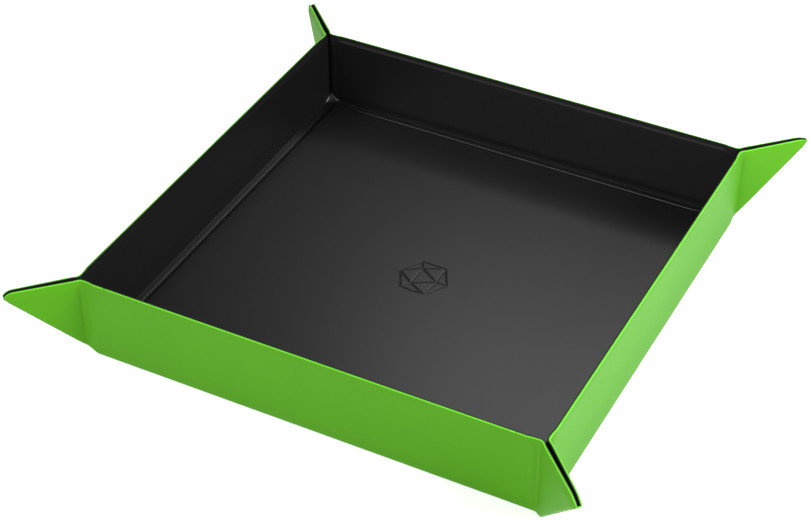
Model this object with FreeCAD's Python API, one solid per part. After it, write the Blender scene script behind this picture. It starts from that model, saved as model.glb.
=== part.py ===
"""Folding dice tray: one square sheet of skin, board and lining, creased into a floor, four walls
and four corner ears that magnets pinch shut.

Every piece is drawn on the sheet laid flat, outer skin down on z = 0, and is then folded up with
the creases it hangs from. Millimetres, origin at the middle of the tray's underside, +Z up.
The front wall is on -Y. The other walls are the front wall turned about +Z.
"""
import FreeCAD
import Part

import os

from FreeCAD import Vector

# Driving dimensions of the tray.
TRAY_WIDTH = 220.0
WALL_HEIGHT = 40.0
SHEET_CORNER_RADIUS = 13.0

# Thickness of the laminate.
SKIN_THICKNESS = 0.6
BOARD_THICKNESS = 1.2
LINING_THICKNESS = 0.4

# Pressed margin along the rim, where skin and lining meet without a board.
RIM_MARGIN = 3.0

# Creases: how far each panel stops short of its fold line, and how far its board does.
BASE_CREASE_HALF_GAP = 1.6
FLOOR_BOARD_TO_BASE_CREASE = 7.8
WALL_BOARD_TO_BASE_CREASE = 3.4
LEAF_CREASE_HALF_GAP = 1.6
BOARD_TO_LEAF_CREASE = 3.0

# Ears: the two leaves of a pinched ear lie this far apart.
LEAF_SPACING = 0.6
LEAF_TO_FOLD_CENTRE = 3.95
LEAF_BOARD_TO_FOLD_CENTRE = 5.9
FOLD_STRIP_SIDE_GAP = 0.3
FOLD_STRIP_START = 1.5

# Magnets, one in each leaf.
MAGNET_RADIUS = 4.0
MAGNET_POCKET_CLEARANCE = 0.1
MAGNET_FROM_LEAF_CREASE = 18.3
MAGNET_HEIGHT = 31.0

# Worked out from the above.
LAMINATE = SKIN_THICKNESS + BOARD_THICKNESS + LINING_THICKNESS
STRIP = SKIN_THICKNESS + LINING_THICKNESS
HALF_TRAY = TRAY_WIDTH / 2
HALF_SHEET = HALF_TRAY + WALL_HEIGHT
ROOT_TWO = 2 ** 0.5
LEAF_CREASE_X = HALF_TRAY - LAMINATE - LEAF_SPACING / ROOT_TWO
FOLD_HALF_WIDTH = LAMINATE + LEAF_SPACING / 2

UP = Vector(0, 0, 1)
ALONG_FRONT = Vector(1, 0, 0)
WALLS = ("front", "right", "back", "left")
CORNERS = ("front_right", "back_right", "back_left", "front_left")


def prism(points, bottom, top):
    """Upright prism over a closed outline of (x, y) points, from height bottom to height top."""
    corners = [Vector(x, y, bottom) for x, y in points]
    outline = Part.makePolygon(corners + corners[:1])
    return Part.Face(outline).extrude(Vector(0, 0, top - bottom))


def rectangle(x_low, y_low, x_high, y_high):
    """Outline of an upright rectangle, anticlockwise."""
    return [(x_low, y_low), (x_high, y_low), (x_high, y_high), (x_low, y_high)]


def whole_sheet():
    """The flat sheet with its rounded corners, thicker than the laminate so that it trims anything."""
    square = rectangle(-HALF_SHEET, -HALF_SHEET, HALF_SHEET, HALF_SHEET)
    block = prism(square, -LAMINATE, 2 * LAMINATE)
    uprights = [edge for edge in block.Edges if abs(edge.tangentAt(edge.FirstParameter).z) > 0.9]
    return block.makeFillet(SHEET_CORNER_RADIUS, uprights)


def pressed_lining(panel, board):
    """Lining that covers the board and drops onto the skin all round it."""
    low = prism(panel, SKIN_THICKNESS, STRIP)
    over_board = Part.Face(Part.makePolygon([Vector(x, y, SKIN_THICKNESS) for x, y in board + board[:1]]))
    raised = over_board.makeOffset2D(LINING_THICKNESS, join=2)
    cover = raised.extrude(Vector(0, 0, LAMINATE - SKIN_THICKNESS))
    pocket = prism(board, SKIN_THICKNESS, SKIN_THICKNESS + BOARD_THICKNESS)
    return low.fuse(cover).cut(pocket).removeSplitter()


def laminated_panel(panel, board):
    """Skin, board and lining of one flat panel, from the outlines of the panel and of its board."""
    board_top = SKIN_THICKNESS + BOARD_THICKNESS
    return {
        "skin": prism(panel, 0, SKIN_THICKNESS),
        "board": prism(board, SKIN_THICKNESS, board_top),
        "lining": pressed_lining(panel, board),
    }


def floor_panel():
    """The square floor."""
    edge = HALF_TRAY - BASE_CREASE_HALF_GAP
    board_edge = HALF_TRAY - FLOOR_BOARD_TO_BASE_CREASE
    return laminated_panel(
        rectangle(-edge, -edge, edge, edge),
        rectangle(-board_edge, -board_edge, board_edge, board_edge),
    )


def front_wall_panel():
    """The front wall, lying flat in front of the floor."""
    end = LEAF_CREASE_X - LEAF_CREASE_HALF_GAP
    board_end = LEAF_CREASE_X - BOARD_TO_LEAF_CREASE
    bottom = -HALF_TRAY - BASE_CREASE_HALF_GAP
    board_bottom = -HALF_TRAY - WALL_BOARD_TO_BASE_CREASE
    return laminated_panel(
        rectangle(-end, -HALF_SHEET, end, bottom),
        rectangle(-board_end, -HALF_SHEET + RIM_MARGIN, board_end, board_bottom),
    )


def leaf_outline(from_crease, from_fold, from_rim):
    """Triangle of the leaf at the front wall's right end, at these distances from its three sides."""
    crease_x = LEAF_CREASE_X + from_crease
    rim_y = -HALF_SHEET + from_rim
    fold_shift = from_fold * ROOT_TWO
    return [(crease_x, rim_y), (-rim_y - fold_shift, rim_y), (crease_x, -crease_x - fold_shift)]


def right_leaf_panel():
    """The ear leaf at the front wall's right end, with its magnet in a hole in the board."""
    pieces = laminated_panel(
        leaf_outline(LEAF_CREASE_HALF_GAP, LEAF_TO_FOLD_CENTRE, 0),
        leaf_outline(BOARD_TO_LEAF_CREASE, LEAF_BOARD_TO_FOLD_CENTRE, RIM_MARGIN),
    )
    sheet = whole_sheet()
    pieces["skin"] = pieces["skin"].common(sheet)
    pieces["lining"] = pieces["lining"].common(sheet)
    centre = Vector(LEAF_CREASE_X + MAGNET_FROM_LEAF_CREASE, -HALF_TRAY - MAGNET_HEIGHT, SKIN_THICKNESS)
    hole_radius = MAGNET_RADIUS + MAGNET_POCKET_CLEARANCE
    hole = Part.makeCylinder(hole_radius, BOARD_THICKNESS, centre)
    pieces["board"] = pieces["board"].cut(hole)
    pieces["magnet"] = Part.makeCylinder(MAGNET_RADIUS, BOARD_THICKNESS, centre)
    return pieces


def fold_strip():
    """The bonded strip of skin and lining along the diagonal fold of the front right ear."""
    half_width = FOLD_HALF_WIDTH - FOLD_STRIP_SIDE_GAP
    band = rectangle(FOLD_STRIP_START, -half_width, ROOT_TWO * WALL_HEIGHT, half_width)
    pieces = {
        "skin": prism(band, 0, SKIN_THICKNESS),
        "lining": prism(band, SKIN_THICKNESS, STRIP),
    }
    sheet = whole_sheet()
    for name, strip in pieces.items():
        strip.rotate(Vector(0, 0, 0), UP, -45)
        strip.translate(Vector(HALF_TRAY, -HALF_TRAY, 0))
        pieces[name] = strip.common(sheet)
    return pieces


def mirrored(pieces):
    """The same pieces at the front wall's left end."""
    return {name: shape.mirror(Vector(0, 0, 0), ALONG_FRONT) for name, shape in pieces.items()}


def fold_wall_up(shape):
    """Turns what lies in front of the floor up about the front wall's base crease."""
    return shape.rotated(Vector(0, -HALF_TRAY, 0), ALONG_FRONT, -90)


def fold_leaf_out(shape, side):
    """Turns a leaf of the upright front wall outwards; side is 1 at the right end, -1 at the left."""
    crease = Vector(side * LEAF_CREASE_X, -HALF_TRAY + LAMINATE, 0)
    return shape.rotated(crease, UP, -45 * side)


def fold_strip_over(shape):
    """Turns the flat fold strip square to the front leaf, about the strip's edge on that leaf."""
    offset = FOLD_HALF_WIDTH / ROOT_TWO
    edge = Vector(HALF_TRAY - offset, -HALF_TRAY - offset, 0)
    return shape.rotated(edge, Vector(1, -1, 0), 90)


def turned_to_wall(shape, quarter_turns):
    """Moves a piece of the front wall to the wall that is this many quarter turns round."""
    return shape.rotated(Vector(0, 0, 0), UP, 90 * quarter_turns)


def folded_tray():
    """Every piece of the tray in its place with the walls up, by node name."""
    nodes = {f"floor_{name}": shape for name, shape in floor_panel().items()}
    wall = front_wall_panel()
    right_leaf = right_leaf_panel()
    leaves = {"right": (right_leaf, 1), "left": (mirrored(right_leaf), -1)}
    strip = fold_strip()
    for turns, (wall_name, corner) in enumerate(zip(WALLS, CORNERS)):
        for name, shape in wall.items():
            nodes[f"{wall_name}_wall_{name}"] = turned_to_wall(fold_wall_up(shape), turns)
        for side_name, (leaf, side) in leaves.items():
            for name, shape in leaf.items():
                upright = fold_leaf_out(fold_wall_up(shape), side)
                nodes[f"{wall_name}_leaf_{side_name}_{name}"] = turned_to_wall(upright, turns)
        for name, shape in strip.items():
            upright = fold_leaf_out(fold_wall_up(fold_strip_over(shape)), 1)
            nodes[f"{corner}_fold_{name}"] = turned_to_wall(upright, turns)
    return nodes


def main():
    os.makedirs("parts", exist_ok=True)
    for node, shape in folded_tray().items():
        shape.exportStep(f"parts/{node}.step")
        print(node, len(shape.Solids), "solid,", round(shape.Volume), "mm3,", shape.isValid())


main()
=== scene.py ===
"""Looks of the folding dice tray: green leather outside, a charcoal lining inside, pressed together
along the rim and in the creases.

Lengths are in millimetres until a mesh is made. The front wall stands on -Y, and every piece of a
wall is drawn there, at its right-hand end (+X), then mirrored for the left-hand end and turned
about +Z for the other walls. Two coordinates follow an ear: "out" runs along the corner's
diagonal from the base corner, and "side" is the distance from the ear's middle plane, towards the
front wall's half. "depth" is measured inwards from a panel's outer face, and "rise" upwards from
its lower edge.

Skin and lining are grids of points. Their columns stand along the wall and on into the ear, and
their rows run from the seam at the bottom, round the fold, and up to the rim.
"""

import math
from collections import namedtuple

import bmesh
import bpy
import numpy as np
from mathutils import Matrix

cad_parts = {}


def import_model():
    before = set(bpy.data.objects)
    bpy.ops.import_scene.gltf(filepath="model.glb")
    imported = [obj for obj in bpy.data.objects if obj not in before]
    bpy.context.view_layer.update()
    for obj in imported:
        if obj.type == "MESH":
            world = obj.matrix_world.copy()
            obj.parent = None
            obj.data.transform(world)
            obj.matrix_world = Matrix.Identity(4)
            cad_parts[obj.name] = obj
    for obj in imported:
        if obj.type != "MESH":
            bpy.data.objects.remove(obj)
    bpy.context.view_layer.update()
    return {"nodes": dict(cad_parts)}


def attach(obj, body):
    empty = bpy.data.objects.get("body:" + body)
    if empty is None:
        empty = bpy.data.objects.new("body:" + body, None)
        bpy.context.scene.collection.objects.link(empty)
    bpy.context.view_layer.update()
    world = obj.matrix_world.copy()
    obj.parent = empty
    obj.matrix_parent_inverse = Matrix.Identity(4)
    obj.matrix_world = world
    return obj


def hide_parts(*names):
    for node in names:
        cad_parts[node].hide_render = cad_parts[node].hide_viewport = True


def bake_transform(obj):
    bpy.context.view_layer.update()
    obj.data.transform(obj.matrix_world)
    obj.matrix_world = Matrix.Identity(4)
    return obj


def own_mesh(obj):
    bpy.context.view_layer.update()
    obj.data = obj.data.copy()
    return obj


MM = 0.001
SAME_PLACE = 1e-6  # millimetres
ROOT_TWO = math.sqrt(2)
WALLS = ("front", "right", "back", "left")
CORNERS = ("front_right", "back_right", "back_left", "front_left")

# The tray, as in the CAD model.
HALF = 110.0
WALL_HEIGHT = 40.0
LAMINATE = 2.2
EAR_HALF_THICKNESS = 2.5
EAR_LENGTH = 33.0
SHEET_CORNER_RADIUS = 13.0

# The bend from wall to ear.
BEND_RADIUS = 3.5
BEND_ANGLE = math.pi / 4
VALLEY_X = HALF - ROOT_TWO * EAR_HALF_THICKNESS
BEND_START = VALLEY_X - BEND_RADIUS * math.tan(BEND_ANGLE / 2)
BEND_END = BEND_START + BEND_RADIUS * BEND_ANGLE
HEEL_END = BEND_START + BEND_RADIUS * BEND_ANGLE / 2

# Where the pieces of skin and of lining meet: distances from a wall's middle, and the stretch of
# an ear over which the strip along its lower edge widens.
FLOOR_SEAM = 102.0
WALL_SEAM = 96.0
STRIP_WIDENS = (-3.4, 6.0)

# Skin: its thickness, its rounding along the base and along an ear's sloping fold, and the stretch
# of the ear over which one becomes the other. SKIN_RUN holds the depths of the rows from the seam
# to the rounding.
SKIN = 0.6
BASE_RADIUS = 2.2
FOLD_RADIUS = 1.3
ROUNDING_CHANGES = (-3.0, 2.0)
SKIN_EDGE_ROUND = 0.16
SKIN_RUN = (8.0, 6.4, 5.0, 4.0, 3.2, 2.6)
SKIN_TURN_ROWS = 8
SKIN_STRIP_HALF = EAR_HALF_THICKNESS - FOLD_RADIUS * (1 - math.cos(BEND_ANGLE))

# Lining, a touch thicker on the floor, and the groove that it drops into along the base crease.
# LINING_RUN_SHARES places the rows from the floor's seam to the groove.
LINING = 0.42
FLOOR_LINING = 0.44
GROOVE_BOTTOM = 1.06
GROOVE_RADIUS = LAMINATE - GROOVE_BOTTOM
FLOOR_SHOULDER = (102.3, 103.9)
WALL_SHOULDER = (2.3, 3.35)
LINING_RUN_SHARES = (0, 0.12, 0.2, 0.28, 0.36, 0.44, 0.52, 0.6, 0.68, 0.76, 0.88, 0.96)
LINING_TURN_ROWS = 7
LINING_STRIP_HALF = EAR_HALF_THICKNESS - LAMINATE + GROOVE_RADIUS * math.cos(BEND_ANGLE)

# Along the walls the lining is rucked up into a low bead inside the crease. BEAD holds depth and
# rise of the rows from its crest out to the wall.
BEAD_REACH = 2.95
BEAD_RADIUS = 0.4
BEAD_FADE = (90.0, 103.0)
BEAD = ((4.66, 1.49), (4.4, 1.52), (3.3, 1.62), (2.3, 1.72), (2.23, 1.73), (LAMINATE, 1.76),
        (LAMINATE, 1.86), (LAMINATE, WALL_SHOULDER[1]))

# First row of a leaf's own surface, above the base crease, and how many rows below the rim take the
# cut edge's material: on the skin these rows are a painted highlight along the rounded rim.
LEAF_ROW = {"skin": len(SKIN_RUN) + SKIN_TURN_ROWS - 1,
            "lining": len(LINING_RUN_SHARES) + LINING_TURN_ROWS + len(BEAD) - 1}
EDGE_HIGHLIGHT_ROWS = {"skin": 5, "lining": 0}

# The pressed margin along the rim: a small step, and from there a slope up to the rim.
PRESS_STEP = (1.3, 3.4)
PRESS_SLOPE = (-0.6, 3.1)
STEP_SHARE = 0.4
WALL_PRESS = 0.2
WALL_LEAN = 0.25
EAR_PRESS = (0.65, 0.8)
EAR_LEAN = 0.3
RIM_LINING = 0.5
TIP_INSET = 0.5

# The rim's small swing inwards beside an ear, and the crease pressed into the bend.
RIM_PUCKER = 0.4
PUCKER_AT = 103.8
PUCKER_REACH = 3.0
PUCKER_FADE = (0.5, 3.4)
CREASE_DEPTH = 0.4
CREASE_REACH = 2.4
CREASE_FADE = (2.0, 8.0)

# Rows and columns, closer together where the surface bends.
ROWS_BETWEEN = 4
ROWS_BELOW_RIM = (3.7, 3.4, 3.2, 3.05, 2.9, 2.75, 2.6, 2.5, 2.2, 1.5, 0.8, 0.2, 0.16, 0.1, 0.05,
                  0.02, 0)
RIM_ROWS_ROOM = 7.0
WALL_COLUMNS = (0, 30, 60, 80, 90, 93, WALL_SEAM, 97, 98, 99, 100, 101, FLOOR_SEAM, 102.8, 103.6,
                104.3, BEND_START)
BEND_COLUMNS = 12
LEAF_COLUMNS = 14
TIP_START = 7.0
TIP_COLUMNS = (6.0, 5.0, 4.0, 3.0, 2.2, 1.5, 1.0, 0.6, 0.3, 0.0)
TIP_ROOM = 0.75
TIP_SEARCH = 45.0
TIP_SEARCH_STEPS = 3001
FLOOR_SKIN_STEPS = (-FLOOR_SEAM, -60, -20, 20, 60, FLOOR_SEAM)
FLOOR_LINING_STEPS = (-FLOOR_SEAM, -80, -60, -40, -20)
STRIP_SHARES = (1, 0.93, 0.86, 0.78, 0.7, 0.6, 0.4, 0.2, 0)

# The strip along an ear's lower edge: its half width and the way to its hidden face.
STRIP_SECTIONS = {"skin": (SKIN_STRIP_HALF, SKIN), "lining": (LINING_STRIP_HALF, -LINING)}

# The web of sheet at each corner: distances along the floor's diagonal with the tray laid flat, and
# heights above the table. Standing, it lies 1 / WEB_KEEP times as far from its anchor.
WEB_START = 150.0
WEB_HALF_WIDTH = 9.0
WEB_COLUMNS = 11
WEB_HEIGHTS = {"skin": (0.62, 0.84), "lining": (0.84, 1.7)}
WEB_CORNER_AT = 193.4
WEB_ANCHOR = 272.0
WEB_KEEP = 0.5

Ear = namedtuple("Ear", "start slope rim_end tip_radius")

# Each ear: height of its lower edge where it starts, the edge's slope, where the level rim ends,
# and the radius at which it turns down to the tip.
EARS = {
    "front_right": Ear(0.0, 1.12, 26.2, 13.0),
    "back_right": Ear(4.8, 1.04, 26.2, 13.0),
    "back_left": Ear(5.3, 1.04, 26.2, 5.0),
    "front_left": Ear(5.3, 1.04, 26.2, 5.0),
}


def smooth(value, low, high):
    """0 below low, 1 above high, with level ends between."""
    t = np.clip((np.asarray(value, float) - low) / (high - low), 0, 1)
    return t * t * (3 - 2 * t)


def bump(value, middle, reach):
    """1 at the middle, falling to 0 at this reach on both sides."""
    return np.clip(1 - ((value - middle) / reach) ** 2, 0, 1) ** 2


# ---------------------------------------------------------------------------- where things are

def columns(distance):
    """Foot on the outer face, and inward direction, of columns at these distances along a wall."""
    distance = np.asarray(distance, float)
    angle = np.clip((distance - BEND_START) / BEND_RADIUS, 0, BEND_ANGLE)
    inward = np.stack([np.sin(angle), np.cos(angle)], -1)
    along = np.stack([np.cos(angle), -np.sin(angle)], -1)
    centre = np.array([BEND_START, -HALF - BEND_RADIUS])
    straight = np.minimum(distance - BEND_START, 0) + np.maximum(distance - BEND_END, 0)
    return centre + BEND_RADIUS * inward + along * straight[:, None], inward


def out_of(x, y):
    return (x - y) / ROOT_TWO - ROOT_TWO * HALF


def side_of(x, y):
    return -(x + y) / ROOT_TWO


def ear_points(out, side, z):
    """Points from their ear coordinates."""
    x = HALF + (out - side) / ROOT_TWO
    y = -HALF - (out + side) / ROOT_TWO
    return np.stack([x, y, z], -1)


def foot_out(distance):
    """The ear coordinate "out" at the foot of each column."""
    foot, _ = columns(distance)
    return out_of(foot[:, 0], foot[:, 1])


def underside(out, ear):
    """Height of the tray's underside: the table, and from there the ear's sloping lower edge."""
    softness = 1.0
    line = ear.start + ear.slope * out
    curve = (line + softness) ** 2 / (4 * softness)
    return np.where(line > softness, line, np.where(line < -softness, 0.0, curve))


def rim_height(out, ear):
    beyond = np.clip(out - ear.rim_end, 0, ear.tip_radius)
    drop = ear.tip_radius - np.sqrt(ear.tip_radius ** 2 - beyond ** 2)
    return WALL_HEIGHT - drop


def from_rim(out, z, ear):
    """Distance below the rim, measured square to it."""
    centre_z = WALL_HEIGHT - ear.tip_radius
    reach = ear.tip_radius - np.hypot(out - ear.rim_end, z - centre_z)
    curved = (out > ear.rim_end) & (z > centre_z)
    return np.where(curved, reach, WALL_HEIGHT - z)


def rounding(out, ear):
    """How much taller a rounding is on the sloping fold than on the level base, and its radius."""
    share = smooth(out, *ROUNDING_CHANGES)
    taller = 1 + (math.hypot(1, ear.slope) - 1) * share
    return taller, BASE_RADIUS + (FOLD_RADIUS - BASE_RADIUS) * share


def strip_half(distance, out, wide):
    """Half width of the strip along an ear's lower edge, between its two seams."""
    return np.where(distance <= HEEL_END, 0.0, wide * smooth(out, *STRIP_WIDENS))


def tip_distance(ear):
    """Distance along the wall and ear at which the leaf runs out."""
    trial = np.linspace(BEND_END, BEND_END + TIP_SEARCH, TIP_SEARCH_STEPS)
    out = foot_out(trial)
    room = rim_height(out, ear) - underside(out, ear) - TIP_ROOM
    return trial[np.argmax(room <= 0)]


def column_distances(ear):
    """Distances of every column of a wall's right-hand end and of the leaf beyond it."""
    tip = tip_distance(ear)
    bend = np.linspace(BEND_START, BEND_END, BEND_COLUMNS + 1)[1:]
    leaf = np.linspace(BEND_END, tip - TIP_START, LEAF_COLUMNS + 1)[1:]
    return np.concatenate([WALL_COLUMNS, bend, leaf, tip - np.array(TIP_COLUMNS)])


# ---------------------------------------------------------------------- how the sheet is pressed

def lean(out, z, distance):
    """How far the ear leans in. Negative on the walls, which lean out a little."""
    along_ear = np.clip(out / EAR_LENGTH, 0, 1)
    on_ear = smooth(distance, BEND_START, BEND_END)
    return EAR_LEAN * along_ear * on_ear - WALL_LEAN * np.clip(z / WALL_HEIGHT, 0, 1) * (1 - on_ear)


def pressed_share(below):
    """Share of the full press at this distance below the rim."""
    step = 1 - smooth(below, *PRESS_STEP)
    slope = 1 - smooth(below, *PRESS_SLOPE)
    return STEP_SHARE * step + (1 - STEP_SHARE) * slope


def press(out, z, distance, ear):
    """How far the outer face is pressed in near the rim."""
    along_ear = np.clip(out / EAR_LENGTH, 0, 1)
    on_ear = smooth(distance, BEND_START, BEND_END)
    ear_press = EAR_PRESS[0] + (EAR_PRESS[1] - EAR_PRESS[0]) * along_ear
    amount = WALL_PRESS + (ear_press - WALL_PRESS) * on_ear
    return amount * pressed_share(from_rim(out, z, ear))


def pucker(distance, out, z, ear):
    """The rim's small swing inwards just before it turns into the ear."""
    near_rim = 1 - smooth(from_rim(out, z, ear), *PUCKER_FADE)
    return RIM_PUCKER * bump(distance, PUCKER_AT, PUCKER_REACH) * near_rim


def crease(distance, z):
    """How deep the crease between wall and ear is pressed in."""
    return CREASE_DEPTH * bump(distance, HEEL_END, CREASE_REACH) * smooth(z, *CREASE_FADE)


# ------------------------------------------------------------------------------ cross-sections

def seam_depth(distance, wide, ear):
    """Depth, along each column, of the seam at its lower end."""
    foot, inward = columns(distance)
    turn = (inward[:, 0] + inward[:, 1]) / ROOT_TWO
    middle = side_of(foot[:, 0], foot[:, 1]) / turn
    at_middle = foot + inward * middle[:, None]
    out = out_of(at_middle[:, 0], at_middle[:, 1])
    depth = (side_of(foot[:, 0], foot[:, 1]) - strip_half(distance, out, wide)) / turn
    return np.where(distance <= FLOOR_SEAM, HALF - FLOOR_SEAM, depth)


def place(distance, depth, rise, ear, taller):
    """Points of each column at these depths and rises."""
    foot, inward = columns(distance)
    point = foot[:, None, :] + inward[:, None, :] * depth[:, :, None]
    out = out_of(point[:, :, 0], point[:, :, 1])
    base = np.where(distance[:, None] < WALL_SEAM, 0.0, underside(out, ear))
    return np.dstack([point, base + taller[:, None] * rise])


def pushed_in(points, distance, amount):
    """The same points moved along their columns' inward direction."""
    _, inward = columns(distance)
    moved = points.copy()
    moved[:, :, :2] += inward[:, None, :] * amount[:, :, None]
    return moved


def rows_to_rim(lower, ear, distance):
    """Heights of the rows from the top of the rounding up to the rim."""
    top = rim_height(foot_out(distance), ear)
    room = np.maximum(top - lower, 0)
    scale = np.minimum(1, room / RIM_ROWS_ROOM)
    near_rim = top[:, None] - np.array(ROWS_BELOW_RIM)[None, :] * scale[:, None]
    spread = np.linspace(0, 1, ROWS_BETWEEN + 2)[None, 1:-1]
    between = lower[:, None] + (near_rim[:, :1] - lower[:, None]) * spread
    return np.hstack([between, near_rim])


def standing(distance, depth, heights):
    """Points of each column at one depth and these heights."""
    foot, inward = columns(distance)
    point = foot[:, None, :] + inward[:, None, :] * depth[:, -1:, None]
    return np.dstack([np.broadcast_to(point, heights.shape + (2,)), heights])


def skin_section(distance, ear):
    """Depth, rise and tilt of the skin's outer face round its lower edge, seam first."""
    out = foot_out(distance)
    taller, radius = rounding(out, ear)
    seam = seam_depth(distance, SKIN_STRIP_HALF, ear)
    nearest = np.minimum(radius, seam)
    run = [np.maximum(np.minimum(seam, depth), nearest) for depth in SKIN_RUN]
    start = np.arccos(np.clip(1 - seam / radius, 0, 1))
    room = (rim_height(out, ear) - underside(out, ear)) / (taller * radius)
    finish = np.minimum(np.arcsin(np.clip(1 - room, 0, 1)), start)
    turns = [start + (finish - start) * share for share in np.linspace(0, 1, SKIN_TURN_ROWS)]
    depth = np.stack(run + [radius * (1 - np.cos(turn)) for turn in turns], 1)
    tilt = np.stack([start] * len(run) + turns, 1)
    return depth, radius[:, None] * (1 - np.sin(tilt)), tilt, taller


def skin_faces(distance, ear):
    """Outer and inner face of the skin, seam first and rim last."""
    depth, rise, tilt, taller = skin_section(distance, ear)
    low_outer = place(distance, depth, rise, ear, taller)
    inner_depth = depth + SKIN * np.cos(tilt)
    inner_rise = rise + SKIN * np.sin(tilt)
    low_inner = place(distance, inner_depth, inner_rise, ear, taller)
    heights = rows_to_rim(low_outer[:, -1, 2], ear, distance)
    high_outer = standing(distance, depth, heights)
    high_inner = pushed_in(high_outer, distance, np.full(heights.shape, SKIN))
    outer = np.hstack([low_outer, high_outer])
    inner = np.hstack([low_inner, high_inner])
    out = out_of(outer[:, :, 0], outer[:, :, 1])
    z = outer[:, :, 2]
    along = distance[:, None]
    moved = press(out, z, along, ear) + lean(out, z, along)
    moved += pucker(along, out, z, ear) + crease(along, z)
    into = np.clip(SKIN_EDGE_ROUND - from_rim(out, z, ear), 0, SKIN_EDGE_ROUND)
    edge = SKIN_EDGE_ROUND - np.sqrt(SKIN_EDGE_ROUND ** 2 - into ** 2)
    return pushed_in(outer, distance, moved + edge), pushed_in(inner, distance, moved)


def lining_section(distance, ear):
    """Depth, rise and tilt of the lining's visible face round its lower edge, seam first."""
    floor_end = HALF - FLOOR_SEAM
    seam = seam_depth(distance, LINING_STRIP_HALF, ear)
    bead_share = 1 - smooth(distance, *BEAD_FADE)
    radius = GROOVE_RADIUS + (BEAD_RADIUS - GROOVE_RADIUS) * bead_share
    first = LAMINATE + BEAD_REACH * bead_share
    width = floor_end - first
    run = [np.minimum(seam, floor_end - width * share) for share in LINING_RUN_SHARES]
    start = np.arccos(np.clip((first - seam) / radius, 0, 1))
    turns = [start * (1 - share) for share in np.linspace(0, 1, LINING_TURN_ROWS)]
    tilts = [start] * len(run) + turns
    depths = run + [first - radius * np.cos(turn) for turn in turns]
    rises = [GROOVE_BOTTOM + radius * (1 - np.sin(tilt)) for tilt in tilts]
    turned_up = rises[-1]
    for share, (bead_depth, bead_rise) in zip(np.linspace(0, 1, len(BEAD) + 1)[1:], BEAD):
        rise = turned_up + (WALL_SHOULDER[1] - turned_up) * share
        plain = LAMINATE - GROOVE_RADIUS * (1 - smooth(rise, *WALL_SHOULDER))
        depths.append(plain + (bead_depth - plain) * bead_share)
        rises.append(rise + (bead_rise - rise) * bead_share)
        tilts.append(np.zeros(len(seam)))
    on_level = (seam > first)[:, None]
    return np.stack(depths, 1), np.stack(rises, 1), np.stack(tilts, 1), on_level


def lining_faces(distance, ear):
    """Visible and hidden face of the lining, seam first and rim last."""
    out = foot_out(distance)
    taller, _ = rounding(out, ear)
    depth, rise, tilt, on_level = lining_section(distance, ear)
    low = place(distance, depth, rise, ear, taller)
    run = len(LINING_RUN_SHARES)
    on_floor = 1 - smooth(-low[:, :run, 1], *FLOOR_SHOULDER)
    low[:, :run, 2] += np.where(on_level, GROOVE_RADIUS * on_floor, 0)
    low_hidden = low.copy()
    low_hidden[:, :, 2] -= LINING * np.sin(tilt) * taller[:, None]
    low_hidden = pushed_in(low_hidden, distance, -LINING * np.cos(tilt))
    top = rim_height(out, ear)[:, None]
    for points in (low, low_hidden):
        points[:, :, 2] = np.minimum(points[:, :, 2], top)
    heights = rows_to_rim(low[:, -1, 2], ear, distance)
    high = standing(distance, depth, heights)
    high_hidden = pushed_in(high, distance, np.full(heights.shape, -LINING))
    visible = np.hstack([low, high])
    hidden = np.hstack([low_hidden, high_hidden])
    out_here = out_of(visible[:, :, 0], visible[:, :, 1])
    z = visible[:, :, 2]
    along = distance[:, None]
    depth = np.hstack([depth, np.broadcast_to(depth[:, -1:], heights.shape)])
    rim_depth = press(out_here, rim_height(out_here, ear), along, ear) + SKIN + RIM_LINING
    moved = (rim_depth - depth) * pressed_share(from_rim(out_here, z, ear))
    moved += lean(out_here, z, along) + pucker(along, out_here, z, ear) + crease(along, z)
    return pushed_in(visible, distance, moved), pushed_in(hidden, distance, moved)


# --------------------------------------------------------------------------------------- meshes

WELD_WITHIN = 0.002 * MM


def shell(name, outer, inner, keep=None, edge_highlight_rows=0):
    """Closed shell between two grids of points, in millimetres.

    keep says which cells exist, and the count after it how many rows below the rim take the cut
    edge's material; on the skin those rows are a painted highlight along the rim.
    """
    count, rows = outer.shape[:2]
    if keep is None:
        keep = np.ones((count - 1, rows - 1), bool)
    points = np.concatenate([outer.reshape(-1, 3), inner.reshape(-1, 3)]) * MM
    index = np.arange(count * rows).reshape(count, rows)
    layer = count * rows
    faces = []
    walls = {}
    for i, j in zip(*np.nonzero(keep)):
        ring = [index[i, j], index[i + 1, j], index[i + 1, j + 1], index[i, j + 1]]
        # Rows next to the rim take the edge material, whose lighter green on the skin paints the
        # rim's highlight.
        faces.append((ring, int(j >= rows - 1 - edge_highlight_rows)))
        faces.append(([layer + v for v in reversed(ring)], 0))
        for a, b in zip(ring, ring[1:] + ring[:1]):
            if (b, a) in walls:
                del walls[b, a]
            else:
                walls[a, b] = True
    faces += [([b, a, layer + a, layer + b], 1) for a, b in walls]
    return mesh_object(name, points, faces)


def mesh_object(name, points, faces):
    """Object from points and (ring, kind) faces, with sharp edges where two kinds of face meet."""
    form = bmesh.new()
    verts = [form.verts.new(p) for p in points]
    kind = form.faces.layers.int.new("kind")
    for ring, value in faces:
        face = form.faces.new([verts[v] for v in ring])
        face.smooth = True
        face.material_index = value
        face[kind] = value
    bmesh.ops.remove_doubles(form, verts=form.verts, dist=WELD_WITHIN)
    bmesh.ops.dissolve_degenerate(form, edges=form.edges, dist=WELD_WITHIN / 2)
    bmesh.ops.delete(form, geom=[v for v in form.verts if not v.link_faces], context="VERTS")
    bmesh.ops.recalc_face_normals(form, faces=form.faces)
    for edge in form.edges:
        kinds = {face[kind] for face in edge.link_faces}
        edge.smooth = len(kinds) == 1
    mesh = bpy.data.meshes.new(name)
    form.to_mesh(mesh)
    form.free()
    piece = bpy.data.objects.new(name, mesh)
    bpy.context.scene.collection.objects.link(piece)
    return piece


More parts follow.
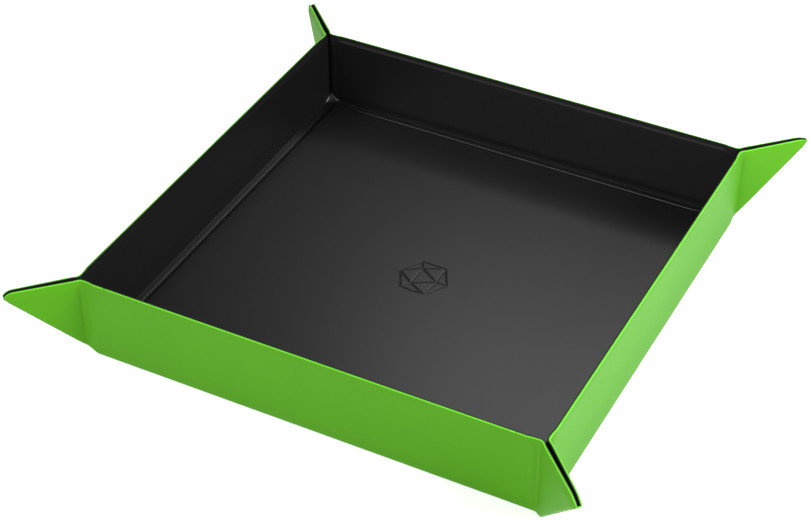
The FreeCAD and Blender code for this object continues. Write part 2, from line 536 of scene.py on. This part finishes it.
def turned(points, quarter_turns, mirror=False):
    """Points of the front wall's right-hand end, moved to another wall or to its left-hand end."""
    x = -points[..., 0] if mirror else points[..., 0]
    y = points[..., 1]
    for _ in range(quarter_turns):
        x, y = -y, x
    return np.stack([x, y, points[..., 2]], -1)


# --------------------------------------------------------------------------------------- pieces

def ear_of(corner, kind):
    """An ear's dimensions. The lining stops a little short of the skin at the tip."""
    ear = EARS[corner]
    return ear._replace(rim_end=ear.rim_end - TIP_INSET) if kind == "lining" else ear


def wall_piece(kind, faces, turns):
    """The wall between its ears, with the base crease and the two heels under the ears."""
    sides = []
    for corner, mirror in ((CORNERS[turns - 1], True), (CORNERS[turns], False)):
        ear = ear_of(corner, kind)
        distance = column_distances(ear)
        distance = distance[distance <= HEEL_END + SAME_PLACE]
        grids = [turned(face, turns, mirror) for face in faces(distance, ear)]
        # The two halves share their middle column.
        order = slice(None, None, -1) if mirror else slice(1, None)
        sides.append([face[order] for face in grids] + [distance[order]])
    outer, inner, distance = (np.concatenate(halves) for halves in zip(*sides))
    middle = np.maximum(distance[:-1], distance[1:]) <= WALL_SEAM + SAME_PLACE
    keep = np.ones((len(distance) - 1, outer.shape[1] - 1), bool)
    keep[~middle, LEAF_ROW[kind]:] = False
    piece = shell(f"{WALLS[turns]}_wall_{kind}_shell", outer, inner, keep, EDGE_HIGHLIGHT_ROWS[kind])
    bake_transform(piece)
    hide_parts(f"{WALLS[turns]}_wall_{kind}")
    return piece


def leaf_piece(kind, faces, turns, side):
    """One leaf of an ear, with the bend that joins it to its wall."""
    mirror = side == "left"
    ear = ear_of(CORNERS[turns - 1 if mirror else turns], kind)
    distance = column_distances(ear)
    distance = distance[distance >= WALL_SEAM - SAME_PLACE]
    outer, inner = (turned(face, turns, mirror) for face in faces(distance, ear))
    keep = np.ones((len(distance) - 1, outer.shape[1] - 1), bool)
    over_heel = distance[1:] <= HEEL_END + SAME_PLACE
    keep[over_heel, :LEAF_ROW[kind]] = False
    body = f"{WALLS[turns]}_leaf_{side}"
    piece = shell(f"{body}_{kind}_shell", outer, inner, keep, EDGE_HIGHLIGHT_ROWS[kind])
    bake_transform(piece)
    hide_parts(f"{body}_{kind}")
    return piece


def strip_rise(kind, depth, radius):
    """Rise of the strip along an ear's lower edge, at these depths from the leaf's outer face."""
    if kind == "skin":
        rounded = np.clip(1 - depth / radius, 0, 1)
        return radius * (1 - np.sqrt(1 - rounded ** 2))
    rounded = np.clip((LAMINATE - depth) / GROOVE_RADIUS, 0, 1)
    return LAMINATE - GROOVE_RADIUS * np.sqrt(1 - rounded ** 2)


def fold_piece(kind, faces, turns):
    """The strip along an ear's lower edge, between the seams of its two leaves."""
    corner = CORNERS[turns]
    ear = ear_of(corner, kind)
    wide, thickness = STRIP_SECTIONS[kind]
    distance = column_distances(ear)
    distance = distance[distance >= HEEL_END - SAME_PLACE]
    seam = faces(distance, ear)[0][:, 0]
    out = out_of(seam[:, 0], seam[:, 1])
    across = np.concatenate([STRIP_SHARES, -np.array(STRIP_SHARES[-2::-1])])
    taller, radius = rounding(out, ear)
    base = underside(out, ear)
    depth = EAR_HALF_THICKNESS - np.abs(across) * strip_half(distance, out, wide)[:, None]
    height = base[:, None] + taller[:, None] * strip_rise(kind, depth, radius[:, None])
    height += (seam[:, 2] - height[:, 0])[:, None]
    side = across * side_of(seam[:, 0], seam[:, 1])[:, None]
    grid = ear_points(np.broadcast_to(out[:, None], side.shape), side, height)
    behind = grid.copy()
    behind[:, :, 2] += (thickness * np.hypot(1, np.gradient(base, out)))[:, None]
    piece = shell(f"{corner}_fold_{kind}_shell", turned(grid, turns), turned(behind, turns))
    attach(piece, f"{WALLS[turns]}_leaf_right")
    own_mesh(piece)
    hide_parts(f"{corner}_fold_{kind}")
    return piece


def corner_web(kind, turns):
    """The sheet between an ear's two leaves.

    It lies hidden in the floor, 1 / WEB_KEEP times as far from its anchor as when laid flat.
    """
    corner = CORNERS[turns]
    across = np.linspace(-WEB_HALF_WIDTH, WEB_HALF_WIDTH, WEB_COLUMNS)
    rim = WEB_CORNER_AT + np.sqrt(SHEET_CORNER_RADIUS ** 2 - across ** 2)
    laid_flat = np.stack([np.full(rim.shape, WEB_START), rim])
    along = WEB_ANCHOR - (WEB_ANCHOR - laid_flat) / WEB_KEEP
    x = (along + across) / ROOT_TWO
    y = (across - along) / ROOT_TWO
    bottom, top = (turned(np.dstack([x, y, np.full(x.shape, height)]), turns)
                   for height in WEB_HEIGHTS[kind])
    piece = shell(f"{corner}_web_{kind}_shell", bottom, top)
    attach(piece, "floor")
    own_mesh(piece)
    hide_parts(f"{corner}_fold_{kind}")
    return piece


def floor_skin():
    x, y = np.meshgrid(FLOOR_SKIN_STEPS, FLOOR_SKIN_STEPS, indexing="ij")
    outer = np.dstack([x, y, np.zeros(x.shape)])
    inner = np.dstack([x, y, np.full(x.shape, SKIN)])
    piece = shell("floor_skin_shell", outer, inner)
    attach(piece, "floor")
    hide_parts("floor_skin")
    return piece


# ------------------------------------------------------------------- floor lining and its emblem

EMBLEM_RADIUS = 12.0
EMBLEM_FACE = 0.56 * EMBLEM_RADIUS
EMBLEM_LINE_EDGES = (0.168, 0.504)
EMBLEM_DEPTH = 0.35
EMBLEM_TURN = math.radians(28)
EMBLEM_GRID = 0.2
EMBLEM_REACH = 13.0


def corners_of(radius, count):
    """Corners of a regular outline, with the first one at the top."""
    angles = math.pi / 2 + 2 * math.pi * np.arange(count) / count
    return radius * np.stack([np.cos(angles), np.sin(angles)], -1)


def die_lines():
    """Line segments of a twenty-sided die seen face on, in a circle of the emblem's radius."""
    outside = corners_of(EMBLEM_RADIUS, 6)
    face = corners_of(EMBLEM_FACE, 3)
    lines = [(outside[i], outside[(i + 1) % 6]) for i in range(6)]
    lines += [(face[i], face[(i + 1) % 3]) for i in range(3)]
    for i in range(3):
        lines += [(face[i], outside[(2 * i + step) % 6]) for step in (-1, 0, 1)]
    return lines


def emblem_depth(x, y):
    """How deep the emblem's lines are pressed at these points."""
    nearest = np.full(x.shape, HALF)
    for a, b in die_lines():
        along = b - a
        share = np.clip(((x - a[0]) * along[0] + (y - a[1]) * along[1]) / (along @ along), 0, 1)
        away = np.hypot(x - a[0] - share * along[0], y - a[1] - share * along[1])
        nearest = np.minimum(nearest, away)
    return EMBLEM_DEPTH * (1 - smooth(nearest, *EMBLEM_LINE_EDGES))


def floor_lining():
    fine = np.arange(-EMBLEM_REACH, EMBLEM_REACH + EMBLEM_GRID / 2, EMBLEM_GRID)
    coarse = np.array(FLOOR_LINING_STEPS)
    steps = np.concatenate([coarse, fine, -coarse[::-1]])
    x, y = np.meshgrid(steps, steps, indexing="ij")
    u = x * math.cos(EMBLEM_TURN) + y * math.sin(EMBLEM_TURN)
    v = -x * math.sin(EMBLEM_TURN) + y * math.cos(EMBLEM_TURN)
    visible = np.dstack([x, y, LAMINATE - emblem_depth(u, v)])
    hidden = np.dstack([x, y, np.full(x.shape, LAMINATE - FLOOR_LINING)])
    piece = shell("floor_lining_shell", visible, hidden)
    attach(piece, "floor")
    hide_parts("floor_lining")
    return piece


# ---------------------------------------------------------------------------------- materials

GRAIN_DEPTH = 0.06
GRAIN_STRENGTH = 0.22
CREASES_IN_GRAIN = 0.6
CREASE_SPACING = 2.5
UNEVEN_GLOSS = 0.04
MOTTLE_BAND = (0.3, 0.7)
MOTTLES_PER_METRE = 40
FIBRES_PER_METRE = 900
SCUFFS_PER_METRE = 1500


def new_material(name):
    material = bpy.data.materials.new(name)
    material.use_nodes = True
    return material, material.node_tree.nodes, material.node_tree.links


def noise(nodes, scale, detail=2):
    texture = nodes.new("ShaderNodeTexNoise")
    texture.inputs["Scale"].default_value = scale
    texture.inputs["Detail"].default_value = detail
    return texture


def two_colours(nodes, first, second, positions=(0.0, 1.0)):
    ramp = nodes.new("ShaderNodeValToRGB")
    for element, position, colour in zip(ramp.color_ramp.elements, positions, (first, second)):
        element.position = position
        element.color = (*colour, 1)
    return ramp


def between(nodes, low, high):
    """Node that spreads a texture's 0 to 1 over this range."""
    spread = nodes.new("ShaderNodeMapRange")
    spread.inputs["To Min"].default_value = low
    spread.inputs["To Max"].default_value = high
    return spread


def leather(name, colour, darker, roughness, specular, grain):
    """Fine smooth leather: a pebble grain of a given size in millimetres, and a slow mottling."""
    material, nodes, links = new_material(name)
    surface = nodes["Principled BSDF"]
    place_at = nodes.new("ShaderNodeTexCoord")
    pebbles = nodes.new("ShaderNodeTexVoronoi")
    pebbles.feature = "SMOOTH_F1"
    pebbles.inputs["Scale"].default_value = 1 / (grain * MM)
    pebbles.inputs["Smoothness"].default_value = 0.6
    creases = noise(nodes, 1 / (CREASE_SPACING * grain * MM), detail=4)
    mottle = noise(nodes, MOTTLES_PER_METRE, detail=3)
    for texture in (pebbles, creases, mottle):
        links.new(place_at.outputs["Object"], texture.inputs["Vector"])
    height = nodes.new("ShaderNodeMath")
    height.operation = "MULTIPLY_ADD"
    height.inputs[1].default_value = CREASES_IN_GRAIN
    links.new(creases.outputs["Fac"], height.inputs[0])
    links.new(pebbles.outputs["Distance"], height.inputs[2])
    bumps = nodes.new("ShaderNodeBump")
    bumps.inputs["Strength"].default_value = GRAIN_STRENGTH
    bumps.inputs["Distance"].default_value = GRAIN_DEPTH * MM
    links.new(height.outputs[0], bumps.inputs["Height"])
    links.new(bumps.outputs[0], surface.inputs["Normal"])
    colours = two_colours(nodes, darker, colour, positions=MOTTLE_BAND)
    links.new(mottle.outputs["Fac"], colours.inputs[0])
    links.new(colours.outputs[0], surface.inputs["Base Color"])
    uneven = between(nodes, roughness - UNEVEN_GLOSS, roughness + UNEVEN_GLOSS)
    links.new(creases.outputs["Fac"], uneven.inputs["Value"])
    links.new(uneven.outputs[0], surface.inputs["Roughness"])
    surface.inputs["Specular IOR Level"].default_value = specular
    return material


def green_leather():
    return leather("green_leather", colour=(0.042, 0.175, 0.001), darker=(0.040, 0.168, 0.001),
                   roughness=0.5, specular=0.105, grain=0.45)


# The skin's cut edge and rim rows: a lighter green, partly the raw edge's own colour and partly a
# painted highlight where the rim catches the light.
def green_cut_edge_and_highlight():
    return leather("green_cut_edge_and_highlight", colour=(0.075, 0.36, 0.003), darker=(0.07, 0.34, 0.003),
                   roughness=0.7, specular=0.3, grain=0.2)


def black_leather():
    return leather("black_leather", colour=(0.0050, 0.0047, 0.0050),
                   darker=(0.0045, 0.0042, 0.0045), roughness=0.3, specular=0.2, grain=0.45)


def black_cut_edge():
    return leather("black_cut_edge", colour=(0.006, 0.003, 0.008), darker=(0.005, 0.0025, 0.007),
                   roughness=0.8, specular=0.2, grain=0.2)


def cardboard():
    material, nodes, links = new_material("grey_board")
    surface = nodes["Principled BSDF"]
    fibres = noise(nodes, FIBRES_PER_METRE)
    colours = two_colours(nodes, (0.25, 0.22, 0.18), (0.42, 0.38, 0.32))
    links.new(fibres.outputs["Fac"], colours.inputs[0])
    links.new(colours.outputs[0], surface.inputs["Base Color"])
    surface.inputs["Roughness"].default_value = 0.9
    return material


def nickel():
    material, nodes, links = new_material("nickel_plate")
    surface = nodes["Principled BSDF"]
    scuffs = noise(nodes, SCUFFS_PER_METRE)
    spread = between(nodes, 0.2, 0.4)
    links.new(scuffs.outputs["Fac"], spread.inputs["Value"])
    links.new(spread.outputs[0], surface.inputs["Roughness"])
    surface.inputs["Base Color"].default_value = (0.72, 0.71, 0.69, 1)
    surface.inputs["Metallic"].default_value = 1
    return material


def paint(piece, surface, edge, slot):
    """Gives a piece its material, and its cut edges theirs; on the skin the edge green also paints
    the rim's highlight.
    """
    piece.data.materials.append(surface)
    piece.data.materials.append(edge)


# -------------------------------------------------------------------------------------- studio

Light = namedtuple("Light", "position size power")

# Positions and sizes in metres, power in watts. Every light aims at the middle of the tray.
LIGHTS = {
    "key": Light((-0.12, 0.6, 0.86), (0.5, 0.5), 4.2),
    "right": Light((0.85, 0.0, 0.5), (0.4, 0.4), 18.0),
    "front": Light((-0.3, -1.15, 0.8), (1.0, 0.8), 27.0),
    "back": Light((0.25, 0.7, 0.66), (0.4, 0.2), 2.0),
}
SKY = 0.28
TABLE_REACH = 6.0
TABLE_DROP = 0.0002
TABLE_ALBEDO = 0.9
TABLE_GLOW = 0.12

CAMERA_AZIMUTH = math.radians(26.8575)
CAMERA_ELEVATION = math.radians(39.196)
CAMERA_ROLL = math.radians(0.2389)
CAMERA_DISTANCE = 8.3196 * HALF * MM
SENSOR = 36.0
FOCAL_LENGTH = 89.42267
LENS_SHIFT = (-0.0222099, 0.0246667)


def area_light(name, light):
    data = bpy.data.lights.new(name, "AREA")
    data.shape = "RECTANGLE"
    data.size, data.size_y = light.size
    data.energy = light.power
    lamp = bpy.data.objects.new(name, data)
    bpy.context.scene.collection.objects.link(lamp)
    lamp.location = light.position
    lamp.rotation_euler = (-lamp.location).to_track_quat("-Z", "Y").to_euler()


def white_table():
    """A bright floor that melts into the white background."""
    mesh = bpy.data.meshes.new("table")
    corners = [(-TABLE_REACH, -TABLE_REACH, 0), (TABLE_REACH, -TABLE_REACH, 0),
               (TABLE_REACH, TABLE_REACH, 0), (-TABLE_REACH, TABLE_REACH, 0)]
    mesh.from_pydata(corners, [], [(0, 1, 2, 3)])
    table = bpy.data.objects.new("table", mesh)
    table.location.z = -TABLE_DROP
    bpy.context.scene.collection.objects.link(table)
    material, nodes, _ = new_material("white_table")
    surface = nodes["Principled BSDF"]
    surface.inputs["Base Color"].default_value = (TABLE_ALBEDO, TABLE_ALBEDO, TABLE_ALBEDO, 1)
    surface.inputs["Roughness"].default_value = 0.8
    surface.inputs["Specular IOR Level"].default_value = 0
    surface.inputs["Emission Color"].default_value = (1, 1, 1, 1)
    surface.inputs["Emission Strength"].default_value = TABLE_GLOW
    mesh.materials.append(material)


def studio():
    world = bpy.data.worlds.new("white_studio")
    bpy.context.scene.world = world
    world.use_nodes = True
    sky = world.node_tree.nodes["Background"]
    sky.inputs["Color"].default_value = (1, 1, 1, 1)
    sky.inputs["Strength"].default_value = SKY
    white_table()
    for name, light in LIGHTS.items():
        area_light(name, light)
    bpy.context.scene.view_settings.view_transform = "Standard"


def camera():
    """The photographer's view: a long lens from the front right."""
    data = bpy.data.cameras.new("view")
    data.sensor_width = SENSOR
    data.lens = FOCAL_LENGTH
    data.shift_x, data.shift_y = LENS_SHIFT
    view = bpy.data.objects.new("view", data)
    bpy.context.scene.collection.objects.link(view)
    level = CAMERA_DISTANCE * math.cos(CAMERA_ELEVATION)
    view.location = (level * math.sin(CAMERA_AZIMUTH), -level * math.cos(CAMERA_AZIMUTH),
                     CAMERA_DISTANCE * math.sin(CAMERA_ELEVATION))
    view.rotation_euler = (math.pi / 2 - CAMERA_ELEVATION, 0, CAMERA_AZIMUTH)
    view.rotation_euler.rotate_axis("Z", CAMERA_ROLL)
    bpy.context.scene.camera = view


# ---------------------------------------------------------------------------------------- build

def soft_pieces():
    """Skin and lining of the floor, the walls and the ears."""
    # The skin's edge material is a lighter green that also serves as a painted highlight along the
    # rim.
    finish = {"skin": (green_leather(), green_cut_edge_and_highlight(), "green_skin"),
              "lining": (black_leather(), black_cut_edge(), "black_lining")}
    faces = {"skin": skin_faces, "lining": lining_faces}
    paint(floor_skin(), *finish["skin"])
    paint(floor_lining(), *finish["lining"])
    for turns in range(len(WALLS)):
        for kind in ("skin", "lining"):
            paint(wall_piece(kind, faces[kind], turns), *finish[kind])
            for side in ("right", "left"):
                paint(leaf_piece(kind, faces[kind], turns, side), *finish[kind])
            paint(fold_piece(kind, faces[kind], turns), *finish[kind])
            paint(corner_web(kind, turns), *finish[kind])


def hard_pieces(nodes):
    """The boards and magnets keep their CAD shapes and get their materials."""
    materials = {"board": cardboard(), "magnet": nickel()}
    for name, node in nodes.items():
        material = materials.get(name.split("_")[-1])
        if material:
            node.data.materials.clear()
            node.data.materials.append(material)


def build():
    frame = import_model()
    soft_pieces()
    hard_pieces(frame["nodes"])
    studio()
    camera()


build()
